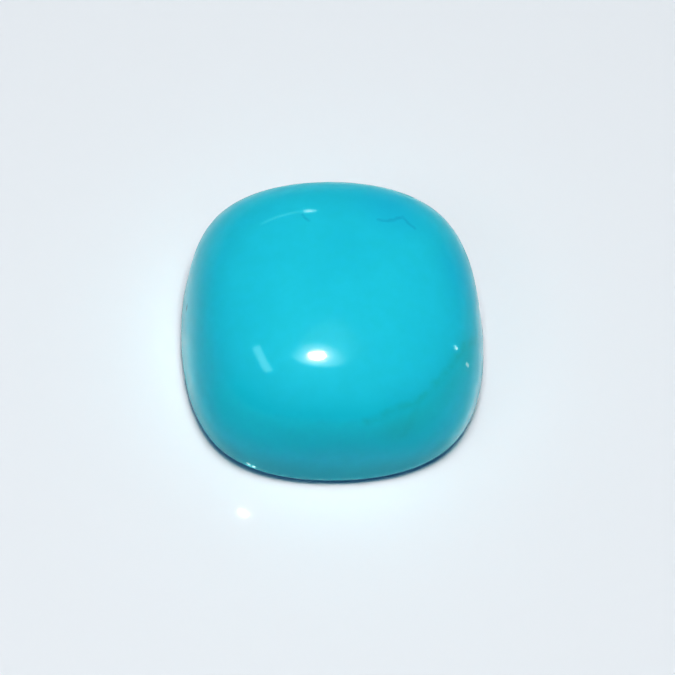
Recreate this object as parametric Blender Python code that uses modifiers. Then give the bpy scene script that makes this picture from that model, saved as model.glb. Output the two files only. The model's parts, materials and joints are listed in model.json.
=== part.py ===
"""Polished turquoise cushion cabochon: a rounded-square stone with a high dome and a flat ground back.

The stone stands on its back at the world origin, dome up (+Z), its four sides square to X and Y.
"""
import bmesh
import bpy

MM = 0.001

# Driving dimensions, before the uneven hand cut.
WIDTH = 14.0 * MM            # across the sides, along X
DEPTH = 14.2 * MM            # across the sides, along Y
HEIGHT = 7.3 * MM            # from the back to the top of the dome
GIRDLE_HEIGHT = 0.52 * MM    # the widest line, above the back
CORNER_FULLNESS = 0.815      # a corner's reach along X and along Y, as a share of a side's reach

# A smoothed surface lies inside its cage, so the cage is built larger by these shares.
CAGE_SPREAD = 1.091
CAGE_RISE = 1.052
SMOOTH_LEVELS = 3

# Each side and corner is ground a little full or flat by hand: (X side, Y side) and its share.
HAND_CUT = {
    (1, 0): 1.010,
    (1, 1): 0.980,
    (0, 1): 0.985,
    (-1, 1): 1.010,
    (-1, 0): 0.986,
    (-1, -1): 0.989,
    (0, -1): 0.955,
    (1, -1): 0.990,
}

# Brings the middle of the unevenly ground outline over the origin.
SHIFT_X = -0.045 * MM
SHIFT_Y = -0.082 * MM

# Stone colour, linear RGB with alpha.
TURQUOISE = (0.020, 0.520, 0.660, 1.0)
POLISH_ROUGHNESS = 0.10

# The rings of the cage, from the back up to the crown. Each is (reach at the sides, reach at the corners,
# height at the sides, height at the corners): reaches as shares of the girdle's, heights in metres.
BACK_INNER = (0.86, 0.80, 0.0, 0.0)
BACK_EDGE = (0.95, 0.91, 0.0, 0.0)
GIRDLE = (1.0, 1.0, GIRDLE_HEIGHT, GIRDLE_HEIGHT)
LOW_WALL = (0.965, 1.01, 0.175 * HEIGHT, 0.175 * HEIGHT)
WALL = (0.92, 1.015, 0.40 * HEIGHT, 0.40 * HEIGHT)
SHOULDER = (0.87, 0.825, 0.80 * HEIGHT, 0.80 * HEIGHT)
CROWN = (0.475, 0.475, 0.965 * HEIGHT, 0.945 * HEIGHT)


def clear_scene():
    for item in list(bpy.data.objects):
        bpy.data.objects.remove(item, do_unlink=True)


def make_collection(name):
    collection = bpy.data.collections.new(name)
    bpy.context.scene.collection.children.link(collection)
    return collection


def make_stone_material():
    material = bpy.data.materials.new("polished_turquoise")
    material.use_nodes = True
    shader = material.node_tree.nodes["Principled BSDF"]
    shader.inputs["Base Color"].default_value = TURQUOISE
    shader.inputs["Metallic"].default_value = 0.0
    shader.inputs["Roughness"].default_value = POLISH_ROUGHNESS
    shader.inputs["IOR"].default_value = 1.61
    return material


def side_of(value):
    """-1, 0 or 1: which side of the middle a cage point is on."""
    tolerance = 0.1 * MM
    return int(value > tolerance) - int(value < -tolerance)


def place_ring(points, ring):
    """Moves one grid of nine cage points onto a ring; the middle one keeps to the ring's side height."""
    side_reach, corner_reach, side_height, corner_height = ring
    half_x = WIDTH / 2 * CAGE_SPREAD
    half_y = DEPTH / 2 * CAGE_SPREAD
    for point in points:
        side = (side_of(point.co.x), side_of(point.co.y))
        at_corner = side[0] != 0 and side[1] != 0
        reach = corner_reach * CORNER_FULLNESS if at_corner else side_reach
        reach *= HAND_CUT.get(side, 1.0)
        point.co.x = side[0] * half_x * reach
        point.co.y = side[1] * half_y * reach
        point.co.z = corner_height if at_corner else side_height


def points_of(patch):
    return [item for item in patch if isinstance(item, bmesh.types.BMVert)]


def raise_ring(cage, patch, ring):
    """Extrudes the cage's top patch and moves the new patch onto the next ring."""
    grown = bmesh.ops.extrude_face_region(cage, geom=patch)["geom"]
    place_ring(points_of(grown), ring)
    return grown


def raise_apex(patch):
    """Lifts the crown patch's middle point to the top of the dome."""
    apex = min(points_of(patch), key=lambda point: point.co.xy.length)
    apex.co.z = HEIGHT * CAGE_RISE


def make_stone(collection):
    cage = bmesh.new()
    bmesh.ops.create_grid(cage, x_segments=2, y_segments=2, size=WIDTH / 2)
    patch = cage.verts[:] + cage.edges[:] + cage.faces[:]
    place_ring(points_of(patch), BACK_INNER)
    for ring in (BACK_EDGE, GIRDLE, LOW_WALL, WALL, SHOULDER, CROWN):
        patch = raise_ring(cage, patch, ring)
    raise_apex(patch)
    bmesh.ops.translate(cage, verts=cage.verts[:], vec=(SHIFT_X, SHIFT_Y, 0.0))
    bmesh.ops.recalc_face_normals(cage, faces=cage.faces[:])

    mesh = bpy.data.meshes.new("turquoise_cabochon")
    cage.to_mesh(mesh)
    cage.free()
    mesh.shade_smooth()
    mesh.materials.append(make_stone_material())
    stone = bpy.data.objects.new("turquoise_cabochon", mesh)
    collection.objects.link(stone)

    smooth = stone.modifiers.new("Smooth", "SUBSURF")
    smooth.levels = SMOOTH_LEVELS
    smooth.render_levels = SMOOTH_LEVELS
    return stone


clear_scene()
make_stone(make_collection("turquoise_cushion_cabochon"))
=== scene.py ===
import json
import math

import bpy
from mathutils import Matrix, Quaternion, Vector

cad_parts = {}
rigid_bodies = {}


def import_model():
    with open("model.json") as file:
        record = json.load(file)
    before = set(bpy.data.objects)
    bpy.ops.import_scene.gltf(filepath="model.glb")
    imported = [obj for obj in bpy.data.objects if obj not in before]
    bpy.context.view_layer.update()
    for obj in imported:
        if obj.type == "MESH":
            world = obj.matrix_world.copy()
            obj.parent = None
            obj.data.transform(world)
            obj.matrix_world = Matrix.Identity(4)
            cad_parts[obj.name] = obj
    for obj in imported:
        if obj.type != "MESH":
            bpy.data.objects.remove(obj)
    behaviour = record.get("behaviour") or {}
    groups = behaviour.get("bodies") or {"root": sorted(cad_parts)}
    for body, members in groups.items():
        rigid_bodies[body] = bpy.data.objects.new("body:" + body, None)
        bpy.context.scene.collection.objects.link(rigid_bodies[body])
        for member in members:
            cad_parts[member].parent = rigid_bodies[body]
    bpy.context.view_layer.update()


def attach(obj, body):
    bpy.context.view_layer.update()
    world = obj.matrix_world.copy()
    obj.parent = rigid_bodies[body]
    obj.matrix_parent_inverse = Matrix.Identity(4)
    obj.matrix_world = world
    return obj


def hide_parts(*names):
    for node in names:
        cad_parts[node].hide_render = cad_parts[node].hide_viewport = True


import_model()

mm = 0.001


# small helpers

def linearColour(hexCode):  # sRGB hex to linear, with alpha
    shares = [int(hexCode[place:place + 2], 16) / 255 for place in (1, 3, 5)]
    linear = [share / 12.92 if share <= 0.04045 else ((share + 0.055) / 1.055) ** 2.4 for share in shares]
    return linear + [1.0]


def newMaterial(name):
    material = bpy.data.materials.new(name)
    material.use_nodes = True
    return material, material.node_tree, material.node_tree.nodes["Principled BSDF"]


def addNode(tree, kind, settings, inputs):  # each input is given a value, or the output that feeds it
    node = tree.nodes.new("ShaderNode" + kind)
    for name, value in settings.items():
        setattr(node, name, value)
    for socket, source in inputs.items():
        if isinstance(source, bpy.types.NodeSocket):
            tree.links.new(source, node.inputs[socket])
        else:
            node.inputs[socket].default_value = source
    return node


def deselectAll():
    for item in bpy.context.view_layer.objects:
        item.select_set(False)


def applyModifier(item, kind, **settings):
    modifier = item.modifiers.new(kind.title(), kind)
    for name, value in settings.items():
        setattr(modifier, name, value)
    bpy.context.view_layer.objects.active = item
    bpy.ops.object.modifier_apply(modifier=modifier.name)


# the stone: a nine-point patch extruded ring by ring from the ground back to the crown, then smoothed

stone = {
    "width": 14.0 * mm,
    "depth": 14.2 * mm,
    "height": 7.3 * mm,
    "girdleHeight": 0.52 * mm,
    "cornerFullness": 0.815,   # how far a corner reaches along X and along Y, against a side
    "cageSpread": 1.091,       # the cage stands this much outside the smooth surface
    "cageRise": 1.052,
    "smoothLevels": 5,
    "shiftAcross": -0.045 * mm,   # brings the unevenly cut outline's middle over the origin
    "shiftBack": -0.082 * mm,
    "middleBand": 0.1 * mm,    # a point this close to a middle line is on neither side of it
}

girdleShare = stone["girdleHeight"] / stone["height"]

# each ring of the cage: reach at the sides and at the corners, then height at the sides and at the corners,
# all as shares of the stone
rings = {
    "backInner": (0.86, 0.80, 0.0, 0.0),
    "backEdge": (0.95, 0.91, 0.0, 0.0),
    "girdle": (1.0, 1.0, girdleShare, girdleShare),
    "lowWall": (0.965, 1.01, 0.175, 0.175),
    "wall": (0.92, 1.015, 0.40, 0.40),
    "shoulder": (0.870, 0.825, 0.80, 0.80),
    "crown": (0.475, 0.475, 0.965, 0.945),
}

# where hand cutting left the outline a little flat or full: (X side, Y side) and its share
handCut = {
    (1, 0): 1.010,
    (1, 1): 0.980,
    (0, 1): 0.985,
    (-1, 1): 1.010,
    (-1, 0): 0.986,
    (-1, -1): 0.989,
    (0, -1): 0.955,
    (1, -1): 0.990,
}

patchPoints = 9   # the newest patch is always three points by three


def sideOf(value):
    return int(value > stone["middleBand"]) - int(value < -stone["middleBand"])


def sidesOf(place):
    return sideOf(place.x), sideOf(place.y)


def selectPoints(item, wanted, newestOnly=True):  # leaves edit mode on, with only the wanted points selected
    bpy.ops.object.mode_set(mode="EDIT")
    bpy.ops.mesh.select_mode(type="VERT")
    bpy.ops.mesh.select_all(action="DESELECT")
    bpy.ops.object.mode_set(mode="OBJECT")
    first = len(item.data.vertices) - patchPoints if newestOnly else 0
    for point in item.data.vertices[first:]:
        point.select = wanted(point.co)
    bpy.ops.object.mode_set(mode="EDIT")


def anyPlace(place):
    return True


def atCorner(place):
    return 0 not in sidesOf(place)


def atMiddle(place):
    return sidesOf(place) == (0, 0)


def scaleAcross(shareX, shareY):
    bpy.ops.transform.resize(value=(shareX, shareY, 1), center_override=(0, 0, 0))


def moveUp(rise):
    bpy.ops.transform.translate(value=(0, 0, rise))


def shapePatch(item, before, after):  # takes the newest nine points from one ring to another
    sideShare = after[0] / before[0]
    cornerShare = after[1] / before[1]
    sideRise = (after[2] - before[2]) * stone["height"]
    cornerRise = (after[3] - before[3]) * stone["height"]
    selectPoints(item, anyPlace)
    scaleAcross(sideShare, sideShare)
    moveUp(sideRise)
    selectPoints(item, atCorner)
    scaleAcross(cornerShare / sideShare, cornerShare / sideShare)
    moveUp(cornerRise - sideRise)
    selectPoints(item, anyPlace)


def buildStone():
    deselectAll()
    bpy.ops.mesh.primitive_grid_add(x_subdivisions=2, y_subdivisions=2, size=stone["width"])
    item = bpy.context.object
    item.name = "turquoise_cushion"
    fullPatch = (1.0, 1.0 / stone["cornerFullness"], 0.0, 0.0)
    selectPoints(item, anyPlace)
    scaleAcross(stone["cageSpread"], stone["cageSpread"] * stone["depth"] / stone["width"])
    before = fullPatch
    for name, after in rings.items():
        if name != "backInner":
            bpy.ops.mesh.extrude_region_move()
        shapePatch(item, before, after)
        before = after
    selectPoints(item, atMiddle)
    moveUp((stone["cageRise"] - before[2]) * stone["height"])
    for sides, share in handCut.items():
        selectPoints(item, lambda place: sidesOf(place) == sides, newestOnly=False)
        scaleAcross(share, share)
    bpy.ops.mesh.select_all(action="SELECT")
    bpy.ops.transform.translate(value=(stone["shiftAcross"], stone["shiftBack"], 0))
    bpy.ops.mesh.normals_make_consistent(inside=False)
    bpy.ops.object.mode_set(mode="OBJECT")
    levels = stone["smoothLevels"]
    applyModifier(item, "SUBSURF", levels=levels, render_levels=levels)
    item.data.shade_smooth()
    return item


# polished turquoise, ground to a cushion and buffed on felt: even sky blue with faint clouds and mottling,
# a greener band beside a darker line painted as the reflection of the sheet's edge, a few hair-fine veins,
# tiny pale chips painted white as sparkles, a painted glint on the shoulder, painted shade on the low wall,
# a waxy glow round its glints, a ground foot painted grey-violet to tint the shadow under it, and a matt
# sawn back

turquoise = {
    "body": "#41BAD2",
    "cloud": "#46BFD6",
    "mottle": "#3DB4BC",
    "cloudSize": 3.5 * mm,
    "mottleSize": 0.55 * mm,
    "wander": 0.14 * mm,       # how far a natural line strays from its course
    "ior": 1.15,
    "glowRoughness": 0.36,     # the wide lobe, from the wax and the stone's own fine pores
    "backRoughness": 0.62,
    "coatWeight": 0.6,
    "coatIor": 1.45,
    "coatRoughness": 0.08,     # the buffed skin
}

# the marks, in the order they are painted: the stone's own colours, and painted shade, reflection and
# glints.
# Each lies along a path of points in millimetres, or below a height where it has none. It is at its full
# strength out to "core" and is gone at "reach"
marks = {
    "bluerCloudFar": {"colour": "#3CB4D2", "strength": 0.8, "core": 0.0, "reach": 2.6,
                      "path": [(2.56, 4.22, 6.30)]},
    "bluerCloudRight": {"colour": "#3CB4D2", "strength": 0.8, "core": 0.0, "reach": 2.2,
                        "path": [(5.86, 1.22, 5.30)]},
    "deeperFront": {"colour": "#20BFD2", "strength": 0.8, "core": 0.5, "reach": 2.3,
                    "path": [(-4.60, -4.90, 4.60), (-2.80, -6.00, 4.40), (-1.00, -6.20, 4.70),
                             (1.20, -6.20, 4.70), (3.10, -5.90, 4.30)]},
    "greenBand": {"colour": "#3DB4BC", "strength": 0.5, "core": 0.0, "reach": 1.5,
                  "path": [(5.81, -2.63, 4.95), (5.21, -3.58, 5.20), (4.56, -4.58, 5.20),
                           (3.56, -5.48, 4.90), (2.56, -6.03, 4.55)]},
    # painted reflection: a darker, greener line, with a fork, where the polish mirrors the edge of the sheet
    # against the room
    "paintedSheetEdgeReflection": {"colour": "#459F94", "strength": 0.25, "core": 0.0, "reach": 0.38, "straying": True,
                   "patchy": True,
                   "path": [(6.46, -1.28, 3.75), (5.66, -2.38, 5.25), (4.96, -3.48, 5.60),
                            (4.06, -4.53, 5.60), (3.26, -5.18, 5.50), (2.16, -5.58, 5.45),
                            (1.16, -5.93, 5.20)]},
    "paintedSheetEdgeReflectionFork": {"colour": "#459F94", "strength": 0.09, "core": 0.0, "reach": 0.35, "straying": True,
                 "path": [(3.41, -5.08, 5.50), (3.16, -5.73, 4.75), (2.86, -6.13, 4.10)]},
    "farVein": {"colour": "#2C8DB0", "strength": 0.36, "core": 0.0, "reach": 0.15, "straying": True,
                "path": [(1.89, 3.30, 6.73), (2.35, 3.28, 6.67), (3.02, 3.59, 6.42), (3.28, 3.27, 6.45),
                         (3.58, 2.97, 6.44)]},
    "farHair": {"colour": "#2C8DB0", "strength": 0.40, "core": 0.0, "reach": 0.12, "straying": True,
                "path": [(-1.52, 3.60, 6.71), (-1.28, 3.20, 6.85)]},
    # two tiny chips on the girdle, painted white as the highlights that sparkle on them
    "chipWithPaintedSparkle": {"colour": "#FFFFFF", "strength": 1.0, "core": 0.05, "reach": 0.12,
                   "path": [(-4.12, -6.32, 1.15), (-4.07, -6.34, 1.12)]},
    "smallChipWithPaintedSparkle": {"colour": "#FFFFFF", "strength": 1.0, "core": 0.05, "reach": 0.11,
                        "path": [(-3.85, -6.42, 1.04), (-3.82, -6.43, 1.03)]},
    # a painted highlight: a pale glint on the right shoulder
    "paintedShoulderGlint": {"colour": "#CFF3F2", "strength": 0.75, "core": 0.02, "reach": 0.14,
                     "path": [(5.86, -3.05, 4.60), (5.76, -3.03, 4.77)]},
    "pit": {"colour": "#1C3C48", "strength": 0.9, "core": 0.0, "reach": 0.22,
            "path": [(-6.83, 0.96, 2.52), (-6.85, 0.90, 2.34)]},
    # painted shade: the low wall darker and greener, at full strength below 1 mm and gone by 2.8 mm
    "lowWall": {"colour": "#4098A1", "strength": 0.60, "core": 1.0, "reach": 2.8},
    # partly the grey of the ground edge, partly painted: its grey-violet tints the shadow under the edge
    # navy
    "groundFootShadowTint": {"colour": "#A09AA6", "strength": 0.8, "core": 0.35, "reach": 0.50},
    "backDust": {"colour": "#86C9D2", "strength": 1.0, "core": 0.03, "reach": 0.10},
}


def distanceTo(tree, place, path):  # how far each point is from a path, which may be a single point
    nearest = None
    for begin, end in zip(path, path[1:] or path):
        first = Vector(begin) * mm
        run = Vector(end) * mm - first
        along = run / max(run.length_squared, mm ** 4)
        offset = addNode(tree, "VectorMath", {"operation": "SUBTRACT"}, {0: place, 1: first}).outputs[0]
        passed = addNode(tree, "VectorMath", {"operation": "DOT_PRODUCT"}, {0: offset, 1: along})
        share = addNode(tree, "Clamp", {}, {"Value": passed.outputs["Value"]}).outputs["Result"]
        onRun = addNode(tree, "VectorMath", {"operation": "SCALE"}, {0: run, "Scale": share}).outputs[0]
        away = addNode(tree, "VectorMath", {"operation": "DISTANCE"}, {0: offset, 1: onRun}).outputs["Value"]
        if nearest:
            away = addNode(tree, "Math", {"operation": "MINIMUM"}, {0: nearest, 1: away}).outputs["Value"]
        nearest = away
    return nearest


def polishedTurquoise():
    material, tree, shader = newMaterial("polishedTurquoise")
    place = addNode(tree, "TexCoord", {}, {}).outputs["Object"]
    height = addNode(tree, "SeparateXYZ", {}, {0: place}).outputs["Z"]

    # two sizes of noise: broad clouds of paler stone, and a fine mottle that also makes the lines stray
    cloud = addNode(tree, "TexNoise", {},
                    {"Vector": place, "Scale": 1 / turquoise["cloudSize"], "Detail": 3.0}).outputs["Fac"]
    mottle = addNode(tree, "TexNoise", {},
                     {"Vector": place, "Scale": 1 / turquoise["mottleSize"], "Detail": 2.0})
    stray = addNode(tree, "VectorMath", {"operation": "SUBTRACT"},
                    {0: mottle.outputs["Color"], 1: (0.5, 0.5, 0.5)}).outputs["Vector"]
    wander = [turquoise["wander"] * 2] * 3
    strayed = addNode(tree, "VectorMath", {"operation": "MULTIPLY_ADD"},
                      {0: stray, 1: wander, 2: place}).outputs["Vector"]
    cloudShare = addNode(tree, "MapRange", {},
                         {"Value": cloud, "From Min": 0.35, "From Max": 0.65}).outputs["Result"]
    mottleShare = addNode(tree, "MapRange", {},
                          {"Value": mottle.outputs["Fac"], "From Min": 0.3, "From Max": 0.7,
                           "To Min": 0.0, "To Max": 0.22}).outputs["Result"]
    body = linearColour(turquoise["body"])
    clouded = addNode(tree, "Mix", {"data_type": "RGBA"},
                      {0: cloudShare, 6: body, 7: linearColour(turquoise["cloud"])}).outputs[2]
    colour = addNode(tree, "Mix", {"data_type": "RGBA"},
                     {0: mottleShare, 6: clouded, 7: linearColour(turquoise["mottle"])}).outputs[2]

    # a patchy mark comes and goes along its way
    patches = addNode(tree, "MapRange", {},
                      {"Value": mottle.outputs["Fac"], "From Min": 0.35, "From Max": 0.6,
                       "To Min": 0.35, "To Max": 1.0}).outputs["Result"]
    for mark in marks.values():
        away = height
        if "path" in mark:
            away = distanceTo(tree, strayed if "straying" in mark else place, mark["path"])
        share = addNode(tree, "MapRange", {"interpolation_type": "SMOOTHSTEP"},
                        {"Value": away, "From Min": mark["core"] * mm, "From Max": mark["reach"] * mm,
                         "To Min": mark["strength"], "To Max": 0.0}).outputs["Result"]
        if "patchy" in mark:
            share = addNode(tree, "Math", {"operation": "MULTIPLY"}, {0: share, 1: patches}).outputs["Value"]
        colour = addNode(tree, "Mix", {"data_type": "RGBA"},
                         {0: share, 6: colour, 7: linearColour(mark["colour"])}).outputs[2]

    # the last mark is the sawn back, which is matt
    roughness = addNode(tree, "MapRange", {},
                        {"Value": share, "To Min": turquoise["glowRoughness"],
                         "To Max": turquoise["backRoughness"]}).outputs["Result"]
    tree.links.new(colour, shader.inputs["Base Color"])
    tree.links.new(roughness, shader.inputs["Roughness"])
    shader.inputs["IOR"].default_value = turquoise["ior"]
    shader.inputs["Coat Weight"].default_value = turquoise["coatWeight"]
    shader.inputs["Coat IOR"].default_value = turquoise["coatIor"]
    shader.inputs["Coat Roughness"].default_value = turquoise["coatRoughness"]
    return material


# the pale sheet that the stone stands on: uncoated paper, bright and matt with hardly any sheen

floorSheet = {
    "size": 3.0,
    "colour": "#DCE1E6",
    "roughness": 0.7,
    "sheen": 0.2,
    "roomLight": 0.5,          # the room's own light on the sheet, where the lamps no longer reach
    "roomReach": 0.25,
}


def buildFloor():
    deselectAll()
    bpy.ops.mesh.primitive_plane_add(size=floorSheet["size"])
    floor = bpy.context.object
    floor.name = "paper_floor"
    material, tree, shader = newMaterial("mattPaper")
    shader.inputs["Base Color"].default_value = linearColour(floorSheet["colour"])
    shader.inputs["Roughness"].default_value = floorSheet["roughness"]
    shader.inputs["Specular IOR Level"].default_value = floorSheet["sheen"]
    # painted light: the sheet glows by itself, more with distance from the stone, in place of the room's
    # light
    place = addNode(tree, "TexCoord", {}, {}).outputs["Object"]
    away = addNode(tree, "VectorMath", {"operation": "LENGTH"}, {0: place}).outputs["Value"]
    room = addNode(tree, "MapRange", {"interpolation_type": "SMOOTHSTEP"},
                   {"Value": away, "From Max": floorSheet["roomReach"], "To Max": floorSheet["roomLight"]})
    tree.links.new(room.outputs["Result"], shader.inputs["Emission Strength"])
    shader.inputs["Emission Color"].default_value = linearColour(floorSheet["colour"])
    floor.data.materials.append(material)
    return floor


# lamps, each by its direction and distance from the point it is aimed at. The aims are in millimetres

lampAim = (0, 0, 4)

# seen says what a lamp shows in: "matt" lights without a mirror image, "gloss" is only mirrored, "caustic"
# is only the light that the stone's polish throws on the sheet, and "sheet" lights the sheet alone. The
# cards and sparkles lie face up just above the sheet. A narrow spread, in degrees, gives a soft-edged glow
lamps = {
    "overhead": {"azimuth": -6.0, "elevation": 86.6, "distance": 0.180, "width": 0.070, "height": 0.070,
                 "power": 0.344, "seen": "matt"},
    "polishGlow": {"azimuth": -40.0, "elevation": 80.0, "distance": 0.180, "width": 0.03, "height": 0.03,
                   "power": 2.9, "seen": "caustic", "colour": "#B4FFFF"},
    "sideFill": {"azimuth": -60.0, "elevation": 50.0, "distance": 0.200, "width": 0.060, "height": 0.060,
                 "power": 0.020, "seen": "sheet"},
    "sheetSpot": {"azimuth": 0.0, "elevation": 89.0, "distance": 0.00014, "width": 0.0005, "height": 0.00014,
                  "power": 0.0000006, "seen": "sheet", "aim": (-4.36, -8.31, 0), "roll": -25.0},
    "leftCard": {"azimuth": 0.0, "elevation": -89.0, "distance": 0.0039, "width": 0.0008, "height": 0.006,
                 "power": 0.0000023, "seen": "gloss", "aim": (-7.65, -2.2, 4), "shape": "RECTANGLE",
                 "spread": 130.0},
    "rightCard": {"azimuth": 0.0, "elevation": -89.0, "distance": 0.0039, "width": 0.0014, "height": 0.004,
                  "power": 0.0000028, "seen": "gloss", "aim": (7.25, -4.12, 4), "roll": 30.0,
                  "shape": "RECTANGLE", "spread": 130.0},
    "chipSparkle": {"azimuth": 0.0, "elevation": -89.0, "distance": 0.0039, "width": 0.00013,
                    "height": 0.00020, "power": 0.000001, "seen": "gloss", "aim": (-4.31, -6.55, 4),
                    "colour": "#B4FFFF"},
    "smallChipSparkle": {"azimuth": 0.0, "elevation": -89.0, "distance": 0.0039, "width": 0.00013,
                         "height": 0.00020, "power": 0.000001, "seen": "gloss", "aim": (-4.06, -6.65, 4),
                         "colour": "#B4FFFF"},
    "flashGlint": {"azimuth": -24.0, "elevation": 79.5, "distance": 0.150, "width": 0.0145, "height": 0.0095,
                   "power": 0.095, "seen": "gloss"},
    "flashGlow": {"azimuth": -24.0, "elevation": 79.3, "distance": 0.150, "width": 0.056, "height": 0.030,
                  "power": 0.00072, "seen": "gloss", "spread": 22.0},
    "leftStrip": {"azimuth": -73.0, "elevation": 54.5, "distance": 0.300, "width": 0.110, "height": 0.042,
                  "power": 0.088, "seen": "gloss", "shape": "RECTANGLE"},
    "farStrip": {"azimuth": -164.0, "elevation": 27.8, "distance": 0.300, "width": 0.100, "height": 0.006,
                 "power": 0.009, "seen": "gloss"},
    "farSpot": {"azimuth": -177.0, "elevation": 27.8, "distance": 0.300, "width": 0.018, "height": 0.014,
                "power": 0.008, "seen": "gloss"},
    "rightSpot": {"azimuth": 92.8, "elevation": 3.2, "distance": 0.300, "width": 0.008, "height": 0.060,
                  "power": 0.024, "seen": "gloss"},
}


def directionOf(azimuth, elevation):  # azimuth 0 stands in front, at -Y, and turns towards +X
    turn = math.radians(azimuth)
    rise = math.radians(elevation)
    return Vector((math.sin(turn) * math.cos(rise), -math.cos(turn) * math.cos(rise), math.sin(rise)))


def buildLamps(floor):
    for name, lamp in lamps.items():
        deselectAll()
        away = directionOf(lamp["azimuth"], lamp["elevation"])
        spot = Vector(lamp.get("aim", lampAim)) * mm + away * lamp["distance"]
        turned = (-away).to_track_quat("-Z", "Y") @ Quaternion((0, 0, 1), math.radians(lamp.get("roll", 0)))
        bpy.ops.object.light_add(type="AREA", location=spot, rotation=turned.to_euler())
        item = bpy.context.object
        item.name = name
        item.data.shape = lamp.get("shape", "ELLIPSE")
        item.data.size = lamp["width"]
        item.data.size_y = lamp["height"]
        item.data.energy = lamp["power"]
        item.data.color = linearColour(lamp.get("colour", "#FFFFFF"))[:3]
        item.data.spread = math.radians(lamp.get("spread", 180.0))
        item.visible_camera = False
        item.visible_glossy = lamp["seen"] in ("gloss", "caustic")
        item.visible_diffuse = lamp["seen"] in ("matt", "sheet")
        if lamp["seen"] == "caustic":
            item.data.use_nodes = True
            tree = item.data.node_tree
            bounces = addNode(tree, "LightPath", {}, {}).outputs["Diffuse Depth"]
            afterSheet = addNode(tree, "Math", {"operation": "GREATER_THAN"}, {0: bounces, 1: 0.5})
            tree.links.new(afterSheet.outputs["Value"], tree.nodes["Emission"].inputs["Strength"])
        if lamp["seen"] == "sheet":
            lit = bpy.data.collections.new("litBy" + name)
            lit.objects.link(floor)
            item.light_linking.receiver_collection = lit


backdrop = {
    "colour": "#E6EBEE",
    "horizonLight": 0.38,
    "upperLight": 0.11,
    "fadeStart": -0.02,        # sines of the heights where the wall's light starts to fade and has faded
    "fadeHeight": 0.22,
    "seenLight": 0.80,         # what the camera itself sees above the floor's edge
}


def buildBackdrop():  # pale near the floor and dim above, so that the polish mirrors no hard horizon
    world = bpy.data.worlds.new("backdrop")
    bpy.context.scene.world = world
    world.use_nodes = True
    tree = world.node_tree
    light = tree.nodes["Background"]
    way = addNode(tree, "TexCoord", {}, {}).outputs["Generated"]
    height = addNode(tree, "SeparateXYZ", {}, {0: way}).outputs["Z"]
    fade = addNode(tree, "MapRange", {"interpolation_type": "SMOOTHERSTEP"},
                   {"Value": height, "From Min": backdrop["fadeStart"], "From Max": backdrop["fadeHeight"],
                    "To Min": backdrop["horizonLight"], "To Max": backdrop["upperLight"]}).outputs["Result"]
    seen = addNode(tree, "LightPath", {}, {}).outputs["Is Camera Ray"]
    strength = addNode(tree, "Mix", {}, {0: seen, 2: fade, 3: backdrop["seenLight"]}).outputs[0]
    tree.links.new(strength, light.inputs["Strength"])
    light.inputs["Color"].default_value = linearColour(backdrop["colour"])


# the camera looks down steeply from the front

view = {
    "azimuth": -9.06,
    "elevation": 66.67,
    "roll": 7.63,
    "distance": 0.150,
    "lens": 173.0,
    "nearest": 0.005,
    "aimHeight": 2.5 * mm,
    "aimRight": 0.142 * mm,
    "aimUp": -0.629 * mm,
}


def buildCamera():
    deselectAll()
    turn = (Matrix.Rotation(math.radians(view["azimuth"]), 4, "Z")
            @ Matrix.Rotation(math.radians(90 - view["elevation"]), 4, "X")
            @ Matrix.Rotation(math.radians(view["roll"]), 4, "Z"))
    aim = Vector((0, 0, view["aimHeight"])) + turn @ Vector((view["aimRight"], view["aimUp"], 0))
    spot = aim + turn @ Vector((0, 0, view["distance"]))
    bpy.ops.object.camera_add(location=spot, rotation=turn.to_euler())
    camera = bpy.context.object
    camera.name = "camera"
    camera.data.lens = view["lens"]
    camera.data.clip_start = view["nearest"]
    bpy.context.scene.camera = camera


# how the picture is graded, as a camera would: a mild S over all channels, a long toe in the red, because
# this blue lies outside what a screen shows, and blue kept in the deepest shadow

grade = {
    "all": [(0.15, 0.105), (0.32, 0.265), (0.45, 0.42), (0.57, 0.56), (0.80, 0.80)],
    "red": [(0.035, 0.0115), (0.07, 0.0215), (0.13, 0.058), (0.18, 0.105), (0.25, 0.175), (0.33, 0.275),
            (0.44, 0.41), (0.60, 0.59), (0.80, 0.80)],
    "blue": [(0.05, 0.085), (0.12, 0.185), (0.20, 0.25), (0.30, 0.335), (0.40, 0.405), (0.60, 0.60),
             (0.80, 0.80)],
}

curvePlaces = {"red": 0, "blue": 2, "all": 3}   # where Blender keeps each channel's curve


def gradePicture():
    settings = bpy.context.scene.view_settings
    settings.view_transform = "Standard"
    settings.use_curve_mapping = True
    mapping = settings.curve_mapping
    for channel, points in grade.items():
        for across, up in points:
            mapping.curves[curvePlaces[channel]].points.new(across, up)
    mapping.update()


print("camera, floor and lamps")
buildCamera()
sheet = buildFloor()
buildLamps(sheet)
buildBackdrop()
gradePicture()

print("the stone")
cushion = buildStone()
cushion.data.materials.append(polishedTurquoise())
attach(cushion, "root")
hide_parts("turquoise_cabochon")
